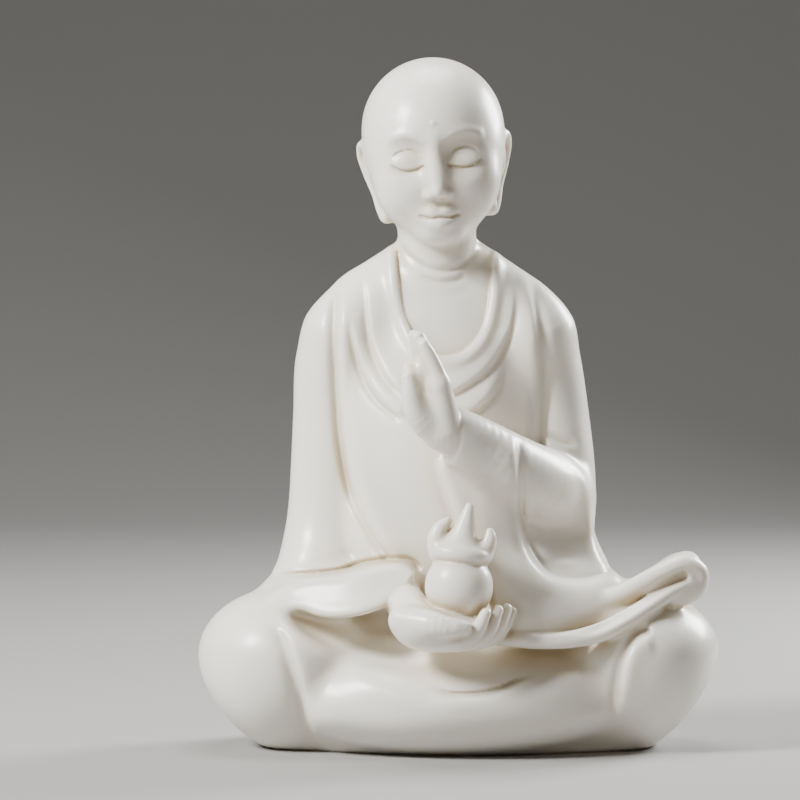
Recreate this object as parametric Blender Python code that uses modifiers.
"""Ceramic bodhisattva statue: one seated figure, cast and glazed as a single piece.

The figure is worked as clay: a signed distance field, negative inside, that is built up
from ellipsoids, rounded limbs, slabs of cloth and folds. The field is then meshed.

All forms are placed in millimetres on a figure FORM_HEIGHT tall, in its own axes:
x to the viewer's right, y away from the viewer, z up, with z = 0 at its underside.
HEIGHT drives the real size, and every form keeps its share of it.
"""

import bmesh
import bpy
import numpy as np

# Driving dimensions
HEIGHT = 0.215  # metres, underside to crown
FORM_HEIGHT = 215.3  # height of the forms below, in their own units

# Fineness of the solid
CELL = 1.4  # sampling step in the forms' own units
EVEN_CELL = 1.2  # step of the closed skin that is drawn over the samples
THINNING = 0.062  # share of that skin's triangles that the solid keeps
FLAT_BELOW = 0.25  # points of the underside lower than this are laid on z = 0

# The glaze
GLAZE = (0.88, 0.86, 0.80, 1.0)
GLAZE_ROUGHNESS = 0.35

# The space that the figure fills
BOX_LOW = (-86, -66, -3)
BOX_HIGH = (86, 52, 219)

# Legs and lap: middles and radii
HIPS = (-4, 12, 20)
HIP_RADII = (48, 33, 36)
BASE = (2, -3, 4)
BASE_RADII = (62, 30, 24)
KNEE_OUT = 54.3
KNEE_AT = (-8, 28.7)
KNEE_RADII = (27.2, 30.0, 21.0)
KNEE_BELOW = 30.8
KNEE_SLOPE_HEIGHT = 8.2
KNEE_SLOPES = ((-1, 76.9, 43.8), (1, 72.8, 40.5))  # side, reach and lean of each underside
LAP = (0, -14, 14)
LAP_RADII = (56, 36, 24)
LAP_BELOW = 17
LAP_SCOOP = (8, -47, 43)
LAP_SCOOP_RADII = (35, 20, 13)

# Shoulders and hanging sleeves: rows of x, y, z, radius
SHOULDERS = (
    [(-13, 10, 147.4, 11.8), (-23, 10, 140.9, 12.0), (-30, 10, 136.2, 12.2), (-35.2, 10, 127.5, 13.7)],
    [(1.5, 10, 146.8, 11.6), (12.4, 10, 139.2, 12.0), (19.4, 10, 134.2, 12.3), (22.9, 10, 127.5, 13.7)],
)
SLEEVES = (
    [(-35.2, 10, 127.5, 13.7), (-38.2, 11, 118, 13.4), (-39, 11, 104, 13.1), (-39.7, 10, 88, 13.1),
     (-40.3, 9, 73, 13.4), (-41.6, 7, 62, 13.8), (-43.6, 3, 52, 14.4), (-47, 0, 44, 15)],
    [(22.9, 10, 127.5, 13.7), (25.6, 11, 118, 13.3), (27.9, 11, 104, 13.1), (29, 9, 88, 13.9),
     (29, 7, 76, 14.3), (28.3, 6, 64, 14), (31, 4, 50, 17)],
)

# Neckline, seen from the front, and its rolled rim
NECKLINE = [(-21, 172), (-20, 156), (-18.4, 143.5), (-15.6, 132.5), (-10.8, 125), (-5.9, 122.6),
            (0.9, 123.6), (6.6, 129.5), (9.2, 139), (10.2, 152), (11, 172)]
RIM_HEIGHT = 1.1
RIM_AWAY = 2.0
RIM_WIDE = 2.0
NECK_RINGS = (
    ([(-18, 160), (-14.5, 154.5), (-9.5, 151), (-5.5, 150.2), (-1, 151), (3.5, 154.5), (6.5, 160)], 0.7),
    ([(-12, 149), (-8.5, 147.2), (-5, 146.6), (-1, 147.2), (2, 149)], 0.5),
)
BACK_FOLDS = (
    [(-30, 128), (-27, 100), (-25, 70), (-30, 40)],
    [(-8, 40), (-7, 80), (-10, 122)],
    [(20, 36), (15, 80), (17, 126)],
)

# Sleeves of the forearms: outlines seen from the front
LAP_SLEEVE = [(-60, 46), (-56, 50), (-46, 54.5), (-32, 57.5), (-20, 59), (-14, 54), (-17, 48.6),
              (-28, 44.2), (-36, 42.6), (-43, 42.6), (-50, 44.4), (-56, 45), (-62, 45)]
SLEEVE_HOLLOW = (-30, -37, 38.4)
SLEEVE_HOLLOW_RADII = (23, 18, 5.8)
RAISED_FOREARM = [(31, 0, 78, 12), (24, -13, 82.5, 11.6), (14, -25, 89, 10.6), (3, -33.5, 96.5, 9),
                  (-6, -38, 101, 8.4)]
CUFF = (-0.8, -37, 98.5)
CUFF_NORMAL = (-0.9, -0.4, 0.15)
HANGING_SLEEVE = [(2, 97), (-5.5, 90), (-4.5, 83), (-0.5, 72), (6, 56), (10.5, 43), (16, 36.5), (28, 34),
                  (40, 36.5), (50, 42), (60, 49), (70, 49.5), (76.5, 54.5), (73.5, 60.4), (66, 59.4),
                  (57, 54), (50, 53), (43, 62), (40, 80), (32, 92), (16, 98)]
ELBOW_HOLLOW = (31, -28, 77)
ELBOW_HOLLOW_RADII = (10, 14, 18)
HEM = [(12, -39, 36.5, 2), (26, -40, 35.6, 2.6), (38, -37, 37, 3.4), (48, -32, 41, 4.4), (58, -25, 46.2, 5),
       (66, -18.5, 50.4, 5.6), (71.2, -15, 53.2, 5.7)]

# Hands and jewel
PALM_ACROSS = (-5.4, -1.8, 1.8, 5.4)  # the four bones of the raised palm
FINGER_LENGTHS = (12.2, 14.6, 14.8)  # the raised hand's straight fingers
CURLED_FINGERS = (  # reach, y and height of the tip
    (6.4, -54.6, 46.4), (10.2, -51, 47), (13, -46.7, 47), (14.6, -42.4, 45.6),
)
JEWEL = (-0.4, -45, 53.3)
TONGUES = (  # rows from the jewel's middle: x, y, z, radius
    [(0.4, 0, 11, 6.2), (1.2, 0, 15.5, 4.2), (2.3, 0, 20.2, 2.6), (3.2, 0, 24.3, 1.4)],
    [(-5.6, 0, 10.5, 3.6), (-6.7, 0, 14.2, 3.1), (-5.8, 0, 17.6, 2.3), (-3.5, -0.3, 20, 1.3)],
    [(6.4, 0, 9.6, 3.4), (8.5, 0, 12.2, 2.7), (9.4, 0, 14.6, 2.1), (9.4, 0, 16.7, 1.3)],
    [(1.5, 5, 10, 3.6), (-0.5, 7, 13.6, 2.6), (0.3, 7.4, 17.6, 1.2)],
)

# Head, in its own upright axes with the origin between the ears
HEAD = (-7.6, 2, 186.3)
HEAD_TILT = -4.5
HEAD_BOW = 7
BROW_MARK = (0, -20.1, 10.5)
EAR_OUT = 18
EAR_RIM = [(0.2, 0.4, 3, 1.1), (2.4, 0.5, 7.4, 1.2), (6.6, 0.5, 8.4, 1.25), (9.4, 0.3, 4.6, 1.3),
           (8.8, 0.2, -1.5, 1.3), (6.4, 0.2, -7.5, 1.5), (4.6, 0.3, -12.4, 2.1), (3.2, 0.3, -15.2, 2.2),
           (1.6, 0.2, -12.5, 1.7), (0.8, 0.1, -7, 1.3), (0.4, 0.1, -3, 1.2)]
EAR_INNER_RIM = [(3.4, 0.6, 3.8, 0.8), (6, 0.6, 2, 0.9), (6.2, 0.5, -1.8, 0.9), (4.2, 0.4, -5.2, 0.8)]

# How the clay is worked
FAR = 60.0  # distance given to points that no form is near
SLACK = 6.0  # how far beyond a form its distance still matters
TINY = 1e-6
OUTLINE_STEPS = 4  # samples in each span of an outline
FOLD_STEPS = 6

# How the skin is sampled
PART = 300000  # points that are worked out at one time
BLOCK = 3  # steps of the fine grid in one of the coarse grid
REACH = 1.9  # blocks this near the surface, in their own size, are sampled finely
PROBE = 0.15


# Curves and turns
def vec(*values):
    """A numpy vector in single precision."""
    return np.array(values, np.float32)


def spline(points, steps):
    """A Catmull-Rom curve through rows of any width, with steps samples in each span."""
    p = np.array(points, np.float32)
    p = np.vstack([2 * p[0] - p[1], p, 2 * p[-1] - p[-2]])
    t = np.linspace(0, 1, steps, endpoint=False, dtype=np.float32)[:, None]
    spans = []
    for a, b, c, d in zip(p[:-3], p[1:-2], p[2:-1], p[3:]):
        square = 2 * a - 5 * b + 4 * c - d
        cube = 3 * b - a - 3 * c + d
        spans.append((2 * b + (c - a) * t + square * t**2 + cube * t**3) / 2)
    return np.vstack(spans + [p[-2:-1]])


def turn(axis, degrees):
    """The rotation matrix about x, y or z."""
    angle = np.radians(degrees)
    i, j = {"x": (1, 2), "y": (2, 0), "z": (0, 1)}[axis]
    m = np.eye(3, dtype=np.float32)
    m[i, i] = m[j, j] = np.cos(angle)
    m[i, j], m[j, i] = -np.sin(angle), np.sin(angle)
    return m


def ramp(t, a, b):
    """Rises smoothly from 0 at a to 1 at b."""
    t = np.clip((t - a) / (b - a), 0, 1)
    return t * t * (3 - 2 * t)


# Distances to the basic forms
def egg(p, centre, radii, lower=None, spin=None):
    """Distance to an ellipsoid; lower is the upright radius of its lower half."""
    q = p - vec(*centre)
    if spin is not None:
        q = q @ spin
    r = np.broadcast_to(vec(*radii), q.shape)
    if lower is not None:
        r = r.copy()
        r[:, 2] = np.where(q[:, 2] < 0, lower, radii[2])
    k0 = np.sqrt(((q / r) ** 2).sum(1))
    k1 = np.sqrt(((q / (r * r)) ** 2).sum(1))
    return k0 * (k0 - 1) / np.maximum(k1, TINY)


def limb(p, path):
    """Distance to a rounded limb, given as rows of x, y, z, radius."""
    best = np.full(len(p), FAR, np.float32)
    for a, b in zip(path[:-1], path[1:]):
        span = b[:3] - a[:3]
        q = p - a[:3]
        t = np.clip(q @ span / max(float(span @ span), TINY), 0, 1)
        gap = np.sqrt(((q - t[:, None] * span) ** 2).sum(1))
        best = np.minimum(best, gap - (a[3] + t * (b[3] - a[3])))
    return best


def flat_spans(x, z, line):
    """For each span of a line in the x-z plane: squared gap, share along it and side."""
    for (ax, az), (bx, bz) in zip(line[:-1], line[1:]):
        dx, dz = bx - ax, bz - az
        t = np.clip(((x - ax) * dx + (z - az) * dz) / max(dx * dx + dz * dz, TINY), 0, 1)
        gap = (x - ax - t * dx) ** 2 + (z - az - t * dz) ** 2
        yield gap, t, dx * (z - az) - dz * (x - ax)


def outline_distance(x, z, outline):
    """Signed distance to a closed outline seen from the front; negative inside."""
    closed = np.vstack([outline, outline[:1]])
    best = np.full(len(x), FAR**2, np.float32)
    inside = np.zeros(len(x), bool)
    for (a, b), (gap, _, side) in zip(zip(closed[:-1], closed[1:]), flat_spans(x, z, closed)):
        best = np.minimum(best, gap)
        crosses = (a[1] > z) != (b[1] > z)
        inside ^= crosses & ((side > 0) == (b[1] > a[1]))
    return np.where(inside, -np.sqrt(best), np.sqrt(best))


def seam(x, z, line):
    """Signed distance to an open line seen from the front, positive on its left; and the share along it."""
    best = np.full(len(x), FAR**2, np.float32)
    left = np.ones(len(x), np.float32)
    along = np.zeros(len(x), np.float32)
    spans = len(line) - 1
    for i, (gap, t, side) in enumerate(flat_spans(x, z, line)):
        nearer = gap < best
        best = np.where(nearer, gap, best)
        left = np.where(nearer, np.sign(side), left)
        along = np.where(nearer, (i + t) / spans, along)
    return np.sqrt(best) * left, along


# Soft joins
def smin(a, b, k):
    """Joins two distances with a fillet about k wide."""
    if k <= 0:
        return np.minimum(a, b)
    h = np.maximum(k - np.abs(a - b), 0) / k
    return np.minimum(a, b) - h * h * k / 4


def smax(a, b, k):
    """Keeps what two distances share, with a rounded edge about k wide."""
    return -smin(-a, -b, k)


# Clay and its tools
class Clay:
    """Sample points and their signed distance to the figure so far, negative inside."""

    def __init__(self, points):
        self.p = points
        self.d = np.full(len(points), FAR, np.float32)

    def near(self, low, high, margin):
        """Indices of the points inside a box that is widened by margin."""
        keep = np.ones(len(self.p), bool)
        for column, a, b in zip(self.p.T, low, high):
            keep &= (column > a - margin) & (column < b + margin)
        return np.nonzero(keep)[0]

    def mix(self, i, d, soft, cut=False):
        """Joins the distances d at the points i, or cuts them away."""
        self.d[i] = smax(self.d[i], -d, soft) if cut else smin(self.d[i], d, soft)

    def egg(self, centre, radii, soft=6.0, lower=None, spin=None, cut=False):
        """Presses on an ellipsoid, or scoops it out."""
        middle, reach = np.array(centre), np.array(radii, float)
        if spin is not None:
            reach[:] = reach.max()
        low, high = middle - reach, middle + reach
        if lower is not None:
            low[2] = middle[2] - lower
        i = self.near(low, high, soft + SLACK)
        self.mix(i, egg(self.p[i], centre, radii, lower, spin), soft, cut)

    def limb(self, points, soft=3.0, steps=6):
        """Presses on a limb along rows of x, y, z, radius."""
        path = spline(points, steps)
        reach = path[:, 3].max()
        low, high = path[:, :3].min(0) - reach, path[:, :3].max(0) + reach
        i = self.near(low, high, soft + SLACK)
        self.mix(i, limb(self.p[i], path), soft)

    def slice(self, place, normal, soft):
        """Cuts away what lies beyond a plane through place, on the side its normal points to."""
        self.d = smax(self.d, (self.p - vec(*place)) @ vec(*normal), soft)

    def slab(self, outline, front, thick, soft, steepness):
        """A slab of cloth: an outline seen from the front, and the y of its front at each point."""
        x, y, z = self.p.T
        edge = outline_distance(x, z, spline(outline, OUTLINE_STEPS))
        self.d = smax(smax((front - y) * steepness, edge, soft), y - front - thick, soft)

    def fold(self, line, height, wide, tight, groove=0.0, front=8.0, ends=(0.15, 0.15), back=False):
        """A fold seen from the front or back: raised on the left of its line, dropping on the right.

        Only the cloth in front of y = front takes it, or behind it where back is set.
        """
        path = spline(line, FOLD_STEPS)
        (x0, z0), (x1, z1) = path.min(0), path.max(0)
        low, high = (front, FAR) if back else (-FAR, front)
        i = self.near((x0, low, z0), (x1, high, z1), 3 * max(wide, tight))
        x, y, z = self.p[i].T
        gap, along = seam(x, z, path)
        behind = ramp(y, front - 3, front + 3)
        fade = ramp(along, 0, ends[0]) * (1 - ramp(along, 1 - ends[1], 1))
        fade = fade * (behind if back else 1 - behind)
        raised = np.exp(-((gap / np.where(gap > 0, wide, tight)) ** 2))
        sunk = np.exp(-(((gap + 1.3 * tight) / (1.1 * tight)) ** 2))
        self.d[i] -= fade * (height * raised - groove * sunk)

    def crease(self, line, depth, wide, steps=6, ends=(0.15, 0.15)):
        """A groove along rows of x, y, z, or a ridge where depth is negative."""
        path = spline(line, steps)
        i = self.near(path.min(0), path.max(0), 3 * wide)
        p = self.p[i]
        best = np.full(len(p), FAR**2, np.float32)
        along = np.zeros(len(p), np.float32)
        for k, (a, b) in enumerate(zip(path[:-1], path[1:])):
            span = b - a
            q = p - a
            t = np.clip(q @ span / max(float(span @ span), TINY), 0, 1)
            gap = ((q - t[:, None] * span) ** 2).sum(1)
            nearer = gap < best
            best = np.where(nearer, gap, best)
            along = np.where(nearer, (k + t) / (len(path) - 1), along)
        fade = ramp(along, 0, ends[0]) * (1 - ramp(along, 1 - ends[1], 1))
        self.d[i] += depth * fade * np.exp(-best / wide**2)


def lump(c, low, high):
    """Fresh clay at those points of c that lie in or near a box, and their indices in c."""
    i = c.near(low, high, SLACK)
    return i, Clay(c.p[i])


# Legs and the lap
def legs(c):
    """Crossed legs under the robe: hips, base, two knees and the thighs behind them."""
    c.egg(HIPS, HIP_RADII, soft=0)
    c.egg(BASE, BASE_RADII, soft=10)
    for side in (-1, 1):
        c.egg((side * KNEE_OUT, *KNEE_AT), KNEE_RADII, soft=7.5, lower=KNEE_BELOW)
    for side in (-1, 1):
        c.limb([(side * 24, 17, 22, 20), (side * 42, 10, 23, 22)], soft=12, steps=1)
    for side, reach, lean in KNEE_SLOPES:
        a = np.radians(lean)
        c.slice((side * reach, 0, KNEE_SLOPE_HEIGHT), (side * np.cos(a), 0, -np.sin(a)), 12)


def lap_cloth(c):
    """The robe's front, which swells towards the base and sags between the knees."""
    c.egg(LAP, LAP_RADII, soft=4, lower=LAP_BELOW)
    c.egg(LAP_SCOOP, LAP_SCOOP_RADII, soft=10, cut=True)


def lap_folds(c):
    """The creases where the cloth leaves each knee, and the sagging folds between them."""
    knee = [(-57, 44), (-51.5, 36), (-48, 25), (-45.5, 13), (-42, 2)]
    c.fold(knee, 1.8, 15, 2.2, 1.5, front=12, ends=(0.25, 0.3))
    other_knee = [(60.5, 37), (55, 35.5), (51.5, 29.5), (50, 20), (49.6, 8)]
    c.fold(other_knee, 1.2, 7, 1.8, 1.6, front=12, ends=(0.15, 0.35))
    sag = [(46, 34), (36, 25), (20, 18), (2, 16), (-16, 19), (-30, 26), (-42, 38)]
    c.fold(sag, 0.9, 5, 4.0, 0.5, front=0, ends=(0.25, 0.25))
    tuck = [(24, 25.5), (16, 22), (8, 19.8), (-2, 19.2), (-11, 21.5)]
    c.fold(tuck, 1.1, 3.5, 0.9, 1.4, front=0, ends=(0.25, 0.25))


# Body and robe
def robe_shape(c):
    """Belly, chest, sloping shoulders and the sleeves that hang from them."""
    c.egg((-4, 11, 60), (38, 28, 48), soft=12)
    c.egg((-5.5, 10, 108), (34, 22, 44), soft=10)
    for shoulder in SHOULDERS:
        c.limb(shoulder, soft=9)
    c.egg((-7, 2, 86), (29, 21.5, 48), soft=6)
    for sleeve in SLEEVES:
        c.limb(sleeve, soft=3)


def chest(c):
    """The bare chest inside the neckline."""
    c.egg((-5.5, 10, 118), (33, 19.9, 36), soft=10)
    c.limb([(-14, 10, 147, 9), (-32, 10, 130, 10)], soft=9, steps=1)
    c.limb([(4, 10, 147, 9), (20, 10, 130, 10)], soft=9, steps=1)


def open_neckline(c):
    """Rolls up the neckline's rim and cuts the opening inside it."""
    i = c.near((-30, -40, 116), (20, 20, 176), SLACK)
    x, y, z = c.p[i].T
    edge = outline_distance(x, z, spline(NECKLINE, OUTLINE_STEPS))
    rim = RIM_HEIGHT * np.exp(-(((edge - RIM_AWAY) / RIM_WIDE) ** 2)) * (1 - ramp(y, 2, 12))
    hole = smax(edge, y - 8 - 0.25 * (z - 150), 3)
    c.d[i] = smax(c.d[i] - rim, -hole, 1.0)


def robe_folds(c):
    """The folds that hang round the neckline, and the front panel's two long edges."""
    inner = [(-8, 110.5), (-1, 112.5), (9, 119.5), (15, 130), (16.6, 140), (15.5, 152)]
    c.fold(inner, 1.2, 5, 1.2, 0.6, ends=(0.1, 0.55))
    outer = [(-4, 103.5), (4, 106), (10, 111.5), (14.5, 121)]
    c.fold(outer, 1.2, 4, 1.2, 0.8, ends=(0.1, 0.4))
    left_inner = [(-29, 150), (-28, 140), (-26.5, 127), (-22.5, 117), (-16, 110)]
    c.fold(left_inner, 1.1, 4.5, 1.2, 0.6, ends=(0.5, 0.15))
    left_outer = [(-33, 138), (-32, 128), (-29, 117), (-24, 109), (-16, 103)]
    c.fold(left_outer, 1.2, 4.5, 1.2, 0.8, ends=(0.4, 0.1))
    panel = [(-36, 146), (-36.8, 130), (-36.4, 112), (-35, 94), (-31, 78), (-23, 64), (-13, 52), (-4, 44)]
    c.fold(panel, 2.2, 7, 1.8, 1.5, front=12, ends=(0.12, 0.5))
    other_panel = [(23, 90), (24.4, 108), (24, 124), (22, 138), (19, 150)]
    c.fold(other_panel, 2.0, 6, 1.8, 1.2, front=12, ends=(0.05, 0.5))


def back_folds(c):
    """The hidden back, kept plain: three long folds that fall from the shoulders."""
    for line in BACK_FOLDS:
        c.fold(line, 1.1, 8, 3, 0.5, front=16, ends=(0.25, 0.25), back=True)


def body(c):
    """The robe with its folds, laid over the bare chest."""
    skin = Clay(c.p)
    chest(skin)
    robe = Clay(c.p)
    robe_shape(robe)
    open_neckline(robe)
    robe_folds(robe)
    back_folds(robe)
    c.d = smin(c.d, robe.d, 5.5)
    c.d = smin(c.d, skin.d, 0.4)


# Sleeves of the forearms
def lap_sleeve(c):
    """The wide sleeve of the arm in the lap, hollow under its mouth."""
    i, s = lump(c, (-68, -56, 36), (-6, 4, 66))
    x, _, z = s.p.T
    front = -25 - 12 * ramp(x, -62, -24) + 0.75 * (z - 47)
    s.slab(LAP_SLEEVE, front, 36, 6, 0.95)
    c.mix(i, s.d, 6)
    c.egg(SLEEVE_HOLLOW, SLEEVE_HOLLOW_RADII, soft=3, spin=turn("y", 13), cut=True)
    bend = [(-17, 58.3), (-30.8, 56), (-42.7, 53.8), (-54.5, 52.6), (-62, 51)]
    c.fold(bend, 0.9, 5, 1.1, 1.0, front=4, ends=(0.2, 0.25))


def raised_forearm(c):
    """The raised forearm in its sleeve, cut square where the hand leaves it."""
    i, s = lump(c, (-10, -52, 60), (50, 16, 116))
    s.limb(RAISED_FOREARM, soft=0, steps=5)
    s.slice(CUFF, CUFF_NORMAL, 1.6)
    c.mix(i, s.d, 2.5)
    elbow = [(38, 92.4), (33, 93.8), (28.5, 95.4), (24, 97.6)]
    c.fold(elbow, 0.4, 4, 1.3, 1.1, ends=(0.3, 0.5))


def hanging_sleeve(c):
    """The sleeve that falls from the raised forearm, hollow beneath the elbow."""
    i, s = lump(c, (-8, -52, 28), (80, 16, 100))
    x, _, z = s.p.T
    low = ramp(z, 68, 42)
    upper_front = -33 + 23 * ramp(x, 6, 42)
    lower_front = -40 + 22 * ramp(x, 18, 74)
    front = upper_front * (1 - low) + lower_front * low
    s.slab(HANGING_SLEEVE, front, 26 - 14 * ramp(x, 42, 56), 5, 0.85)
    s.egg(ELBOW_HOLLOW, ELBOW_HOLLOW_RADII, soft=8, cut=True)
    loop = [(21.5, -24, 90), (21.3, -24, 80), (23, -24, 70), (28, -24, 62), (35, -20, 58), (42, -16, 59)]
    s.crease(loop, -1.2, 2.6, ends=(0.2, 0.3))
    c.mix(i, s.d, 3)
    swag = [(53, 57), (46, 53.5), (36, 52), (27, 54.5), (20.5, 62), (17.5, 74), (17.2, 84), (16.6, 92),
            (16.3, 100)]
    c.fold(swag, 1.4, 5, 1.1, 1.6, front=-2, ends=(0.2, 0.04))


def hem_loop(c):
    """The sleeve's folded hem, which runs out over the knee as a flattened loop."""
    c.limb(HEM, soft=2)
    groove = [(16, -43, 38), (25, -43.5, 38.4), (36, -41, 40.4), (45.5, -36.5, 44), (54.8, -30.5, 48.6),
              (62.2, -24.5, 52.8), (66.5, -21.5, 54.8)]
    c.crease(groove, 2.2, 2.0, ends=(0.2, 0.1))


# Hands
def raised_hand(c):
    """Palm, three straight fingers, and the ring that thumb and first finger make."""
    i, h = lump(c, (-24, -60, 90), (12, -22, 136))
    knuckles = []
    for w in PALM_ACROSS:
        across = vec(-0.5 * w, 0.86 * w, 0)
        wrist = vec(-4.0, -38.8, 101) + 0.6 * across
        knuckle = vec(-8.4, -39.8, 115) + across * vec(0.8, 1, 1)
        h.limb([(*wrist, 4.6), (*((wrist + knuckle) / 2), 3.9), (*knuckle, 3.1)], soft=4, steps=3)
        knuckles.append(knuckle)
    for k, length in zip(knuckles, FINGER_LENGTHS):
        joints = [k, k + vec(-1.6, -0.2, 0.42 * length), k + vec(-3.8, -0.5, 0.8 * length),
                  k + vec(-5.0, -0.8, length)]
        h.limb([(*joint, r) for joint, r in zip(joints, (2.9, 2.6, 2.3, 1.8))], soft=1.5, steps=3)
    h.egg((-11.4, -42, 107), (3.8, 3.6, 7.5), soft=3)
    thumb = [(-6, -40, 101, 5.0), (-12.2, -43.3, 105, 4.1), (-14.8, -44.8, 111, 3.2),
             (-15.8, -44.4, 117, 2.3)]
    h.limb(thumb, soft=2, steps=4)
    finger = [(-11, -35.3, 115, 2.9), (-13.6, -37.5, 119.4, 2.6), (-15.6, -41.2, 119.6, 2.3),
              (-15.2, -43.8, 116.2, 2.0)]
    h.limb(finger, soft=1.2, steps=4)
    h.limb([(5, -33.5, 97, 6.0), (0, -36.5, 98, 6.4), (-4, -38.5, 100.5, 6.4)], soft=2.5, steps=4)
    c.mix(i, h.d, 0.8)


def jewel_hand(c):
    """The open hand in the lap, palm up, its thumb along the near side, its fingers curled."""
    i, h = lump(c, (-36, -64, 28), (20, -26, 54))
    h.limb([(-26, -35, 44.5, 6.4), (-20, -40, 43.4, 6.6), (-14, -44.5, 41.8, 6.8)], soft=1.2)
    h.egg((-6.5, -47, 40.4), (14, 10.5, 7.2), soft=3)
    thumb = [(-17, -49, 43.2, 5.0), (-9, -55.3, 42.6, 4.3), (-3, -57.4, 42, 3.2), (1, -57, 41.8, 2.4)]
    h.limb(thumb, soft=1.6, steps=4)
    for reach, y, tip in CURLED_FINGERS:
        bend = 0.3 * (reach - 6)
        finger = [(-4, y + 1.9, 37.6, 3.6), (reach - 4.2, y, 37.4, 2.9), (reach, y + 0.6, 41.8, 2.4),
                  (reach + 0.1 * bend, y + 2.3, tip, 1.8)]
        h.limb(finger, soft=0.9, steps=4)
    c.mix(i, h.d, 1.0)


# The jewel
def jewel(c):
    """The wish-granting jewel, a ball that a flame crowns."""
    x, y, z = JEWEL
    c.egg(JEWEL, (10.4, 10.4, 10.6), soft=0.8)
    c.egg((x + 0.7, y + 0.3, z + 10.2), (9.4, 8.8, 4.4), soft=0.7, spin=turn("y", 9))
    for tongue in TONGUES:
        c.limb([(x + dx, y + dy, z + dz, r) for dx, dy, dz, r in tongue], soft=1.5, steps=4)


# Head and face
def eye(q, s):
    """A shallow socket under a long brow, the lid's dome in it, the lash line and a fold above."""
    q.egg((s * 8.6, -22.6, 0.6), (6.2, 4.2, 4.4), soft=6, cut=True)
    q.egg((s * 8.4, -14.9, -0.8), (5.6, 4.3, 3.6), soft=2.2)
    lashes = [(3.4, -18.2, -1.8), (5.8, -19.4, -3.0), (8.6, -19.5, -3.5), (11.4, -18.2, -2.9),
              (14, -15.6, -1.2)]
    q.crease([(s * x, y, z) for x, y, z in lashes], 0.75, 0.5, ends=(0.1, 0.1))
    fold = [(4.0, -19.2, 0.6), (6.2, -19.4, 2.3), (8.8, -18.9, 2.9), (12, -17.2, 2.0), (14.4, -15.2, 0.2)]
    q.crease([(s * x, y, z) for x, y, z in fold], 0.4, 0.55)
    brow = [(1.8, -20.6, 4.6), (6.5, -20.2, 7.4), (11.5, -18.2, 7.6), (16, -14.4, 5.2)]
    q.crease([(s * x, y, z) for x, y, z in brow], -0.45, 1.5)


def nose(q):
    """A straight bridge that runs down from the brows, a rounded tip and two wings."""
    q.limb([(0, -18.8, 5.0, 1.6), (0, -20.2, -2.6, 2.0), (0, -22.8, -9.8, 2.4)], soft=4.5)
    for s in (-1, 1):
        q.egg((s * 2.6, -20.4, -11), (1.9, 2.4, 1.7), soft=1.8)
        q.egg((s * 1.5, -22.4, -12.9), (0.8, 1.2, 0.6), soft=0.8, cut=True)
    q.crease([(0, -20.4, -13.6), (0, -20.6, -15.8)], 0.3, 0.8)


def mouth(q):
    """Two full lips whose corners turn up a little, and a soft hollow below them."""
    upper = [(-6.2, -16.6, -17.2, 0.6), (-2.6, -18.8, -16.9, 1.5), (0, -19.4, -17.3, 1.2),
             (2.6, -18.8, -16.9, 1.5), (6.2, -16.6, -17.2, 0.6)]
    q.limb(upper, soft=1.5)
    q.limb([(-5.2, -16.8, -18.6, 0.8), (0, -18.6, -20.3, 2.1), (5.2, -16.8, -18.6, 0.8)], soft=1.5)
    line = [(-7, -16.9, -17.4), (-3.2, -19.6, -18.4), (0, -20.4, -18.2), (3.2, -19.6, -18.4),
            (7, -16.9, -17.4)]
    q.crease(line, 0.7, 0.55, ends=(0.05, 0.05))
    q.crease([(-3, -17.6, -23.2), (3, -17.6, -23.2)], 0.4, 1.5)


def ear(q, s):
    """A long ear in a plane of its own, close to the head: x runs back, y outwards, z along it."""
    up = vec(s * 0.2, 0.02, 0.98)
    up = up / np.linalg.norm(up)
    out = vec(s * 0.907, -0.42, 0)
    out = out - up * (out @ up)
    out = out / np.linalg.norm(out)
    axes = np.stack([np.cross(up, out) * s, out, up], 1)
    i = q.near((min(s * 10, s * 29), -6, -30), (max(s * 10, s * 29), 18, 10), 3)
    e = Clay(((q.p[i] - vec(s * EAR_OUT, 1, -5)) @ axes).astype(np.float32))
    e.egg((4.6, -1.6, 0), (5.6, 2.4, 8.4), soft=1.0)
    e.egg((3.4, -1.6, -11), (3.6, 2.4, 6.8), soft=2.5)
    e.limb(EAR_RIM, soft=1.2)
    e.limb(EAR_INNER_RIM, soft=1.0)
    e.egg((3.4, 1.4, -1.8), (1.9, 1.5, 3.2), soft=1.0, cut=True)
    e.egg((0.8, 0.8, -2.4), (1.4, 1.2, 1.8), soft=1.0)
    q.mix(i, e.d, 1.6)


def head(c):
    """Skull, cheeks, jaw and chin, then the features, in clay that is turned into place."""
    i = c.near((-34, -32, 150), (18, 36, 216), SLACK)
    turned = turn("y", HEAD_TILT) @ turn("x", HEAD_BOW)
    q = Clay(((c.p[i] - vec(*HEAD)) @ turned).astype(np.float32))
    q.egg((0, 4.5, 6), (22.3, 25.5, 22.5), soft=0)
    q.egg((0, -3, -8), (18.8, 17.5, 20.6), soft=10)
    q.egg((0, -14.2, -23), (6.5, 5.5, 4.8), soft=7)
    q.egg((0, -15, -17.5), (7, 4.6, 6), soft=4)
    for s in (-1, 1):
        q.egg((s * 9.5, -11, -10), (8.5, 7.5, 9), soft=6)
        eye(q, s)
        ear(q, s)
    nose(q)
    mouth(q)
    q.egg(BROW_MARK, (1.4, 0.9, 1.4), soft=0.3)
    c.mix(i, q.d, 2.0)


def neck(c):
    """The throat and the two rings that a rounded neck carries in such work."""
    c.limb([(-6, 8, 146, 12.6), (-6.6, 6, 156, 12.2), (-7.2, 4, 168, 12.5)], soft=3, steps=3)
    for ring, groove in NECK_RINGS:
        c.fold(ring, 0.4 * groove, 2.5, 1.1, groove, front=2, ends=(0.2, 0.2))


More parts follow.
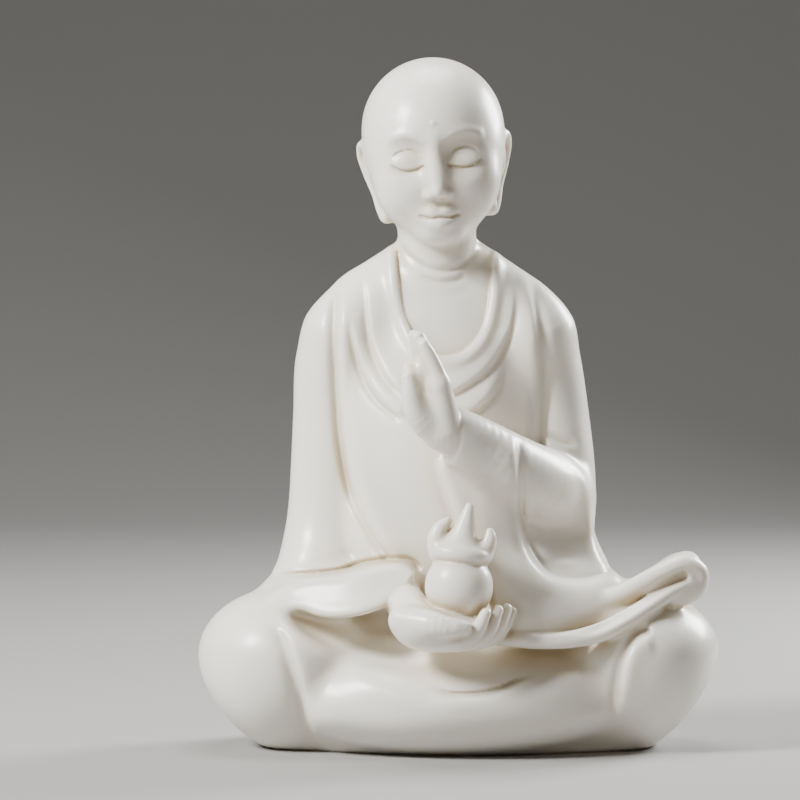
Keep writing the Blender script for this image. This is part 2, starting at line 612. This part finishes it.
# The whole figure
def figure(points):
    """Distance from each point to the whole figure."""
    c = Clay(points)
    legs(c)
    lap_cloth(c)
    lap_folds(c)
    body(c)
    lap_sleeve(c)
    raised_forearm(c)
    hanging_sleeve(c)
    hem_loop(c)
    c.slice((0, 0, 0), (0, 0, -1), 1.5)
    neck(c)
    head(c)
    raised_hand(c)
    jewel_hand(c)
    jewel(c)
    return c.d


# Sampling
def in_parts(field, points):
    """The field at many points, worked out a part at a time to spare memory."""
    parts = np.array_split(points.astype(np.float32), len(points) // PART + 1)
    return np.concatenate([field(part) for part in parts])


def spread(flags, shape):
    """Marks every grid point that touches a marked cell."""
    marked = np.zeros(shape, bool)
    for offset in np.ndindex(2, 2, 2):
        marked[tuple(slice(o, n - 1 + o) for o, n in zip(offset, shape))] |= flags
    return marked


def blow_up(values, times):
    """Repeats each value along all three axes."""
    for axis in range(3):
        values = np.repeat(values, times, axis)
    return values


def sample(field, low, high, step):
    """Samples the field on a grid, finely only near the surface. Returns values and corner."""
    low, high = np.array(low, float), np.array(high, float)
    blocks = np.ceil((high - low) / (step * BLOCK)).astype(int) + 1
    axes = [low[i] + step * BLOCK * np.arange(blocks[i] + 1) for i in range(3)]
    grid = np.stack(np.meshgrid(*axes, indexing="ij"), -1)
    coarse = in_parts(field, grid.reshape(-1, 3)).reshape(blocks + 1)
    close = np.abs(coarse) < step * BLOCK * REACH
    near = np.zeros(blocks, bool)
    for offset in np.ndindex(2, 2, 2):
        near |= close[tuple(slice(o, n + o) for o, n in zip(offset, blocks))]
    values = np.pad(blow_up(coarse[:-1, :-1, :-1], BLOCK), ((0, 1),) * 3, mode="edge")
    wanted = np.nonzero(spread(blow_up(near, BLOCK), values.shape).ravel())[0]
    places = low + np.stack(np.unravel_index(wanted, values.shape), 1) * step
    values.ravel()[wanted] = in_parts(field, places)
    return values, low


# Surface nets
def net_points(values, cells):
    """The mean crossing of the surface with the edges of each cell, in cell units."""
    corners = np.array(list(np.ndindex(2, 2, 2)))
    v = values[tuple((cells[:, None, :] + corners).transpose(2, 0, 1))]
    total = np.zeros((len(cells), 3))
    hits = np.zeros(len(cells))
    for i, j in np.ndindex(8, 8):
        if j < i or np.abs(corners[i] - corners[j]).sum() != 1:
            continue
        crossed = (v[:, i] < 0) != (v[:, j] < 0)
        t = np.where(crossed, v[:, i] / np.where(crossed, v[:, i] - v[:, j], 1), 0)
        total += (corners[i] + t[:, None] * (corners[j] - corners[i])) * crossed[:, None]
        hits += crossed
    return cells + total / hits[:, None]


def net_faces(inside, index):
    """A quad round every grid edge that the surface crosses, facing outwards."""
    faces = []
    for axis in range(3):
        u, w = [i for i in range(3) if i != axis]
        turned = np.moveaxis(inside, (axis, u, w), (0, 1, 2))
        start = turned[:-1, 1:-1, 1:-1]
        a, b, c = np.nonzero(start != turned[1:, 1:-1, 1:-1])
        ring = []
        for du, dw in ((0, 0), (1, 0), (1, 1), (0, 1)):
            place = [None] * 3
            place[axis], place[u], place[w] = a, b + du, c + dw
            ring.append(index[tuple(place)])
        quads = np.stack(ring, 1)
        turn_over = start[a, b, c] == (axis == 1)
        quads[turn_over] = quads[turn_over][:, ::-1]
        faces.append(quads)
    return np.vstack(faces)


def surface(values, low, step):
    """Points and quads of the skin between negative and positive values."""
    inside = values < 0
    shape = np.array(values.shape)
    count = np.zeros(shape - 1, np.uint8)
    for offset in np.ndindex(2, 2, 2):
        count += inside[tuple(slice(o, n - 1 + o) for o, n in zip(offset, shape))]
    cells = np.stack(np.nonzero((count > 0) & (count < 8)), 1)
    index = np.full(shape - 1, -1, np.int32)
    index[tuple(cells.T)] = np.arange(len(cells))
    return low + net_points(values, cells) * step, net_faces(inside, index)


# Settling on the true surface
def gradient(field, points):
    """How fast and which way the distance grows, from differences over a small step."""
    rises = [in_parts(field, points + e) - in_parts(field, points - e) for e in np.eye(3) * PROBE]
    return np.stack(rises, 1) / (2 * PROBE)


def settle(field, points, reach):
    """Moves the points onto the surface, none further than reach."""
    d = in_parts(field, points)
    g = gradient(field, points)
    move = -(d / np.maximum((g * g).sum(1), 0.2))[:, None] * g
    length = np.linalg.norm(move, axis=1)
    return points + move * np.minimum(1, reach / np.maximum(length, TINY))[:, None]


# The solid
def glaze():
    """White porcelain under a soft clear glaze."""
    material = bpy.data.materials.new("glazed_porcelain")
    material.use_nodes = True
    shader = material.node_tree.nodes["Principled BSDF"]
    shader.inputs["Base Color"].default_value = GLAZE
    shader.inputs["Roughness"].default_value = GLAZE_ROUGHNESS
    shader.inputs["Metallic"].default_value = 0.0
    return material


def skin():
    """The figure's skin in metres, flat below and standing over the origin."""
    values, corner = sample(figure, BOX_LOW, BOX_HIGH, CELL)
    points, faces = surface(values, corner, CELL)
    points = settle(figure, points, CELL)
    points[points[:, 2] < FLAT_BELOW, 2] = 0.0
    middle = (points.min(0) + points.max(0)) / 2
    points[:, :2] -= middle[:2]
    return points * (HEIGHT / FORM_HEIGHT), faces


def statue(collection):
    """The whole cast figure as one closed body."""
    points, faces = skin()
    mesh = bpy.data.meshes.new("statue")
    mesh.from_pydata(points.tolist(), [], faces.tolist())
    solid = bmesh.new()
    solid.from_mesh(mesh)
    bmesh.ops.triangulate(solid, faces=solid.faces)
    bmesh.ops.recalc_face_normals(solid, faces=solid.faces)
    solid.to_mesh(mesh)
    solid.free()
    mesh.shade_smooth()
    mesh.materials.append(glaze())
    body = bpy.data.objects.new("statue", mesh)
    collection.objects.link(body)
    even = body.modifiers.new("even", "REMESH")
    even.mode = "VOXEL"
    even.voxel_size = EVEN_CELL * HEIGHT / FORM_HEIGHT
    thin = body.modifiers.new("thin", "DECIMATE")
    thin.ratio = THINNING
    return body


def main():
    """Clears the file and builds the statue."""
    for old in list(bpy.data.objects):
        bpy.data.objects.remove(old)
    collection = bpy.data.collections.new("bodhisattva_statue")
    bpy.context.scene.collection.children.link(collection)
    made = statue(collection)
    print("statue:", len(made.data.polygons), "triangles before thinning")


main()
